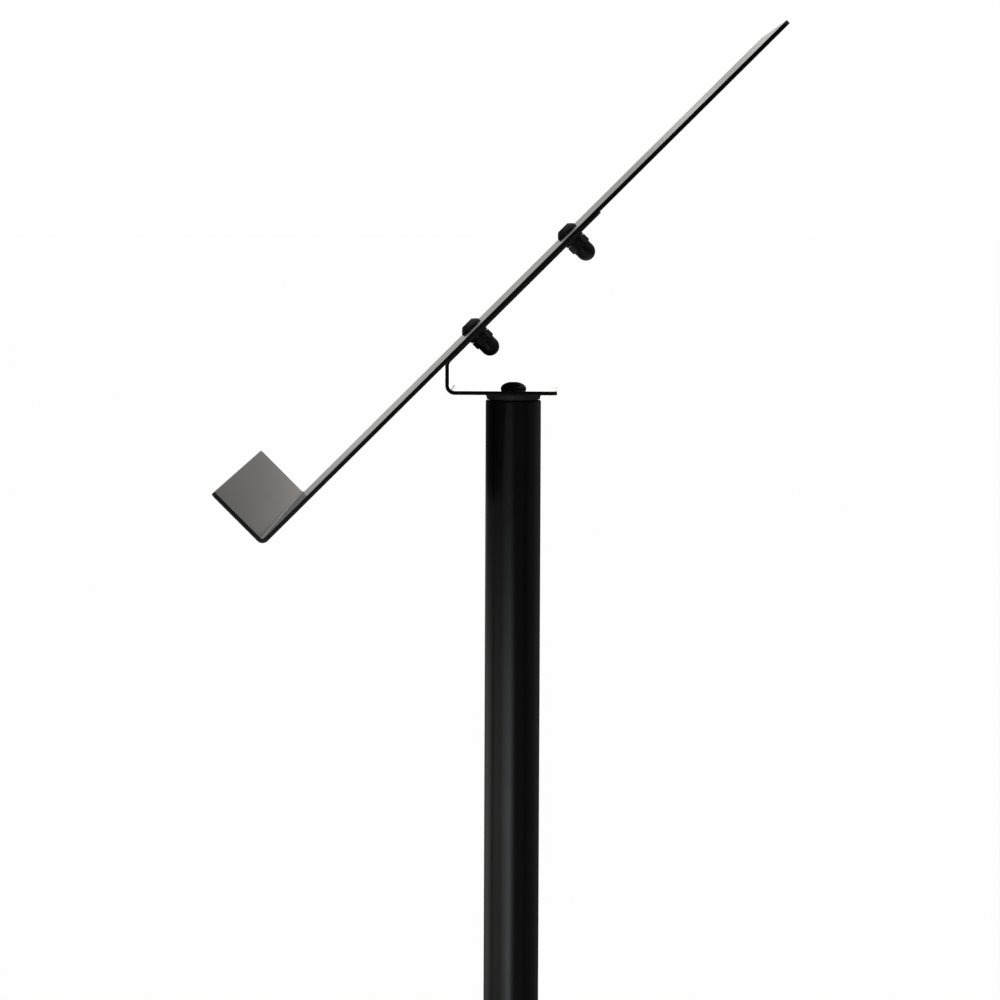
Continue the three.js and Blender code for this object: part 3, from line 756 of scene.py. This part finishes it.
def make_end_cap():
    """A hollow plug with a thin brim, and a boss inside that holds the lock nut in a hexagon pocket."""
    low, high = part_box("post_end_cap")
    bore_r, bore_edge = 4.05 * MM, 0.2 * MM
    pocket_r, pocket_flats, nut_clearance = 7.6 * MM, 12.9 * MM, 0.1 * MM
    boss_r, boss_length, boss_edge = 9.6 * MM, 20 * MM, 0.4 * MM
    web_thickness, inside_corner = 6 * MM, 0.6 * MM
    plug_r, plug_wall = 13.775 * MM, 2.2 * MM
    lead_in, lead_in_height, lead_in_edge = 0.8 * MM, 1.6 * MM, 1 * MM
    brim_height, brim_low_r, brim_low_edge = 3.5 * MM, 15.15 * MM, 0.25 * MM
    brim_r, brim_bevel_z, brim_bevel_edge = 15.85 * MM, 0.7 * MM, 0.5 * MM
    brim_top_inset, brim_top_edge = 0.35 * MM, 0.25 * MM
    film_reach = 0.08 * MM  # into the paint film under the bracket
    top = high.z + film_reach
    nut_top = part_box("swivel_lock_nut")[1].z + nut_clearance
    boss_z = high.z - boss_length
    web_z = high.z - web_thickness
    brim_z = high.z - brim_height
    rings = [
        Ring(bore_r, top, bore_edge),
        Ring(bore_r, nut_top),
        Ring(pocket_r, nut_top, 0, pocket_flats),
        Ring(pocket_r, boss_z, 0, pocket_flats),
        Ring(boss_r, boss_z, boss_edge),
        Ring(boss_r, web_z, inside_corner),
        Ring(plug_r - plug_wall, web_z, inside_corner),
        Ring(plug_r - plug_wall, low.z, BROKEN_EDGE),
        Ring(plug_r - lead_in, low.z, BROKEN_EDGE),
        Ring(plug_r, low.z + lead_in_height, lead_in_edge),
        Ring(plug_r, brim_z),
        Ring(brim_low_r, brim_z, brim_low_edge),
        Ring(brim_r, high.z - brim_bevel_z, brim_bevel_edge),
        Ring(brim_r - brim_top_inset, top, brim_top_edge),
    ]
    cap = turned("end_cap", rings, NYLON, segments=120, closed=True)
    attach(cap, "post_end_cap", "stand")


def make_post():
    low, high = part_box("post_tube")
    foot_edge = 0.4 * MM
    r = (high.x - low.x) / 2
    rings = [
        Ring(r - POST_WALL, high.z, BROKEN_EDGE),
        Ring(r - POST_WALL, low.z),
        Ring(r, low.z, foot_edge),
        Ring(r, high.z, POST_RIM_R),
    ]
    post = turned("round_post", rings, POWDER, segments=144, closed=True)
    attach(post, "post_tube", "stand")


def make_foot_plug():
    low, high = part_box("post_foot_plug")
    bore_r, bore_edge, outer_edge = 4.85 * MM, 0.5 * MM, 0.8 * MM
    r = (high.x - low.x) / 2
    rings = [
        Ring(bore_r, high.z, bore_edge),
        Ring(bore_r, low.z, bore_edge),
        Ring(r, low.z, outer_edge),
        Ring(r, high.z, outer_edge),
    ]
    plug = turned("threaded_plug", rings, ZINC, segments=72, closed=True)
    attach(plug, "post_foot_plug", "stand")


# ---------- base ----------


def make_base_cover():
    """A pressed steel pan, open below, with a hole for the base bolt."""
    low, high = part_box("base_cover")
    hem_edge = 0.5 * MM
    r = (high.x - low.x) / 2
    rings = [
        Ring(BASE_HOLE_R, high.z, BROKEN_EDGE),
        Ring(BASE_HOLE_R, high.z - BASE_SHEET, BROKEN_EDGE),
        Ring(r - BASE_SHEET, high.z - BASE_SHEET, BASE_EDGE_R - BASE_SHEET),
        Ring(r - BASE_SHEET, low.z, hem_edge),
        Ring(r, low.z, hem_edge),
        Ring(r, high.z, BASE_EDGE_R),
    ]
    cover = turned("pressed_cover", rings, POWDER, segments=192, closed=True)
    attach(cover, "base_cover", "stand")


def make_base_weight():
    """A cast disc with a pocket below for the bolt's head and washers."""
    low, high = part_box("base_weight")
    pocket_r, pocket_depth = 15.5 * MM, 6 * MM
    bore_edge, pocket_corner, mouth_edge, rim_edge = 0.5 * MM, 0.6 * MM, 0.8 * MM, 2 * MM
    r = (high.x - low.x) / 2
    pocket_z = low.z + pocket_depth
    rings = [
        Ring(BASE_HOLE_R, high.z, bore_edge),
        Ring(BASE_HOLE_R, pocket_z, BROKEN_EDGE),
        Ring(pocket_r, pocket_z, pocket_corner),
        Ring(pocket_r, low.z, mouth_edge),
        Ring(r, low.z, rim_edge),
        Ring(r, high.z, rim_edge),
    ]
    weight = turned("iron_weight", rings, IRON, segments=144, closed=True)
    attach(weight, "base_weight", "stand")


def make_base_bolt():
    """A hexagon bolt, head down."""
    low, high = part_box("base_bolt")
    flats, head_height, head_inset, head_bevel = 17 * MM, 6.4 * MM, 0.4 * MM, 1 * MM
    shank_r, shank_chamfer = 4.75 * MM, 1 * MM
    corner_r = flats / math.sqrt(3)
    head_top = low.z + head_height
    rings = [
        Ring(0, low.z),
        Ring(flats / 2 - head_inset, low.z),
        Ring(corner_r, low.z + head_bevel, 0, flats),
        Ring(corner_r, head_top, 0, flats),
        Ring(shank_r, head_top),
        Ring(shank_r, high.z - shank_chamfer),
        Ring(shank_r - shank_chamfer, high.z),
        Ring(0, high.z),
    ]
    bolt = turned("hex_bolt", rings, ZINC, segments=72)
    attach(bolt, "base_bolt", "stand")


def make_base_washers():
    low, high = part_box("base_flat_washer")
    bore_r, bore_edge = 5.25 * MM, 0.2 * MM
    outer_r = (high.x - low.x) / 2
    rings = [
        Ring(bore_r, low.z, bore_edge),
        Ring(outer_r, low.z, BROKEN_EDGE),
        Ring(outer_r, high.z, BROKEN_EDGE),
        Ring(bore_r, high.z, bore_edge),
    ]
    washer = turned("plain_washer", rings, ZINC, segments=72, closed=True)
    attach(washer, "base_flat_washer", "stand")

    low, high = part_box("base_lock_washer")
    bore_r, gap = 5.1 * MM, 12
    outer_r, thickness = (high.x - low.x) / 2, high.z - low.z
    place = Matrix.Translation((0, 0, low.z))
    washer = spring_washer("split_washer_base", outer_r, bore_r, thickness, gap, ZINC, place)
    attach(washer, "base_lock_washer", "stand")


def make_feet():
    taper, low_edge, top_edge = 1.5 * MM, 1 * MM, 0.5 * MM
    for corner in ("front_left", "front_right", "rear_left", "rear_right"):
        low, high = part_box("foot_" + corner)
        r = (high.x - low.x) / 2
        rings = [
            Ring(0, low.z),
            Ring(r - taper, low.z, low_edge),
            Ring(r, high.z, top_edge),
            Ring(0, high.z),
        ]
        place = Matrix.Translation(((low.x + high.x) / 2, (low.y + high.y) / 2, 0))
        foot = turned("rubber_foot_" + corner, rings, RUBBER, segments=72, place=place)
        attach(foot, "foot_" + corner, "stand")


# ---------- studio ----------


def make_floor():
    bm = bmesh.new()
    bmesh.ops.create_circle(bm, cap_ends=True, segments=96, radius=FLOOR_RADIUS)
    material = bpy.data.materials.new("pale_floor")
    material.use_nodes = True
    shader = material.node_tree.nodes["Principled BSDF"]
    shader.inputs["Base Color"].default_value = FLOOR_TONE
    shader.inputs["Roughness"].default_value = 1
    shader.inputs["Specular IOR Level"].default_value = 0
    mesh = bpy.data.meshes.new("floor")
    bm.to_mesh(mesh)
    bm.free()
    mesh.materials.append(material)
    floor = bpy.data.objects.new("floor", mesh)
    floor.visible_glossy = False  # the soft boxes below give the gloss its floor
    bpy.context.scene.collection.objects.link(floor)


class Nodes:
    """Small helper for building the world's node tree."""

    def __init__(self, tree):
        self.tree = tree

    def math(self, operation, *values):
        node = self.tree.nodes.new("ShaderNodeMath")
        node.operation = operation
        for socket, value in zip(node.inputs, values):
            if isinstance(value, (int, float)):
                socket.default_value = value
            else:
                self.tree.links.new(value, socket)
        return node.outputs["Value"]

    def window(self, value, half, softness):
        """1 where |value| is under half, falling softly to 0. All in radians."""
        node = self.tree.nodes.new("ShaderNodeMapRange")
        node.interpolation_type = "SMOOTHSTEP"
        node.inputs["From Min"].default_value = half + softness
        node.inputs["From Max"].default_value = half - softness
        self.tree.links.new(self.math("ABSOLUTE", value), node.inputs["Value"])
        return node.outputs["Result"]

    def scaled_color(self, color, factor):
        node = self.tree.nodes.new("ShaderNodeVectorMath")
        node.operation = "SCALE"
        node.inputs[0].default_value = color
        self.tree.links.new(factor, node.inputs["Scale"])
        return node.outputs["Vector"]

    def add_colors(self, first, second):
        node = self.tree.nodes.new("ShaderNodeVectorMath")
        node.operation = "ADD"
        self.tree.links.new(first, node.inputs[0])
        if isinstance(second, tuple):
            node.inputs[1].default_value = second
        else:
            self.tree.links.new(second, node.inputs[1])
        return node.outputs["Vector"]


def make_world():
    """A pale studio: even soft light, and for the gloss a dark room with soft-edged bright areas."""
    world = bpy.data.worlds.new("studio")
    bpy.context.scene.world = world
    world.use_nodes = True
    tree = world.node_tree
    tree.nodes.clear()
    n = Nodes(tree)
    coordinate = tree.nodes.new("ShaderNodeTexCoord")
    split = tree.nodes.new("ShaderNodeSeparateXYZ")
    tree.links.new(coordinate.outputs["Generated"], split.inputs["Vector"])
    x, y, z = (split.outputs[axis] for axis in "XYZ")
    elevation = n.math("ARCSINE", z)
    seen = None
    for box in SOFT_BOXES:
        cos, sin = math.cos(math.radians(box.azimuth)), math.sin(math.radians(box.azimuth))
        ahead = n.math("ADD", n.math("MULTIPLY", x, cos), n.math("MULTIPLY", y, sin))
        aside = n.math("SUBTRACT", n.math("MULTIPLY", y, cos), n.math("MULTIPLY", x, sin))
        off_azimuth = n.math("ARCTAN2", aside, ahead)
        off_elevation = n.math("SUBTRACT", elevation, math.radians(box.elevation))
        wide = n.window(off_azimuth, math.radians(box.half_width), math.radians(box.side_softness))
        high = n.window(off_elevation, math.radians(box.half_height), math.radians(box.top_softness))
        strength = n.math("MULTIPLY", n.math("MULTIPLY", wide, high), box.strength)
        glow = n.scaled_color(box.tint, strength)
        seen = glow if seen is None else n.add_colors(seen, glow)
    seen = n.add_colors(seen, (DARK_STUDIO, DARK_STUDIO, DARK_STUDIO))

    def background(color, strength=1.0):
        node = tree.nodes.new("ShaderNodeBackground")
        node.inputs["Strength"].default_value = strength
        if isinstance(color, tuple):
            node.inputs["Color"].default_value = (*color, 1)
        else:
            tree.links.new(color, node.inputs["Color"])
        return node.outputs["Background"]

    def choose(ray, otherwise, when):
        node = tree.nodes.new("ShaderNodeMixShader")
        tree.links.new(ray, node.inputs["Fac"])
        tree.links.new(otherwise, node.inputs[1])
        tree.links.new(when, node.inputs[2])
        return node.outputs["Shader"]

    # even light first, then what the gloss sees, then the plain background for the camera
    path = tree.nodes.new("ShaderNodeLightPath")
    light = background(BACKGROUND, AMBIENT)
    light = choose(path.outputs["Is Glossy Ray"], light, background(seen))
    light = choose(path.outputs["Is Camera Ray"], light, background(BACKGROUND))
    output = tree.nodes.new("ShaderNodeOutputWorld")
    tree.links.new(light, output.inputs["Surface"])


def make_camera():
    data = bpy.data.cameras.new("camera")
    data.lens = CAMERA_LENS
    data.sensor_width = CAMERA_SENSOR
    camera = bpy.data.objects.new("camera", data)
    bpy.context.scene.collection.objects.link(camera)
    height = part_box("support_bracket")[0].z + CAMERA_ABOVE_BRACKET
    turn = Matrix.Rotation(CAMERA_TURN, 3, "Z")
    camera.location = turn @ Vector((CAMERA_DISTANCE, CAMERA_SIDE, height))
    looking = turn @ Vector((-math.cos(CAMERA_PITCH), 0, -math.sin(CAMERA_PITCH)))
    level = looking.to_track_quat("-Z", "Y").to_matrix()
    camera.rotation_euler = (level @ Matrix.Rotation(CAMERA_ROLL, 3, "Z")).to_euler()
    bpy.context.scene.camera = camera


# ---------- scene ----------

make_camera()
make_world()
make_floor()
tray_corner = make_tray()
make_bracket(tray_corner)
make_tray_fasteners(tray_corner)
make_swivel()
make_lock_nut()
make_end_cap()
make_post()
make_foot_plug()
make_base_cover()
make_base_weight()
make_base_bolt()
make_base_washers()
make_feet()

view = bpy.context.scene.view_settings
view.view_transform = "Standard"
view.look = "None"
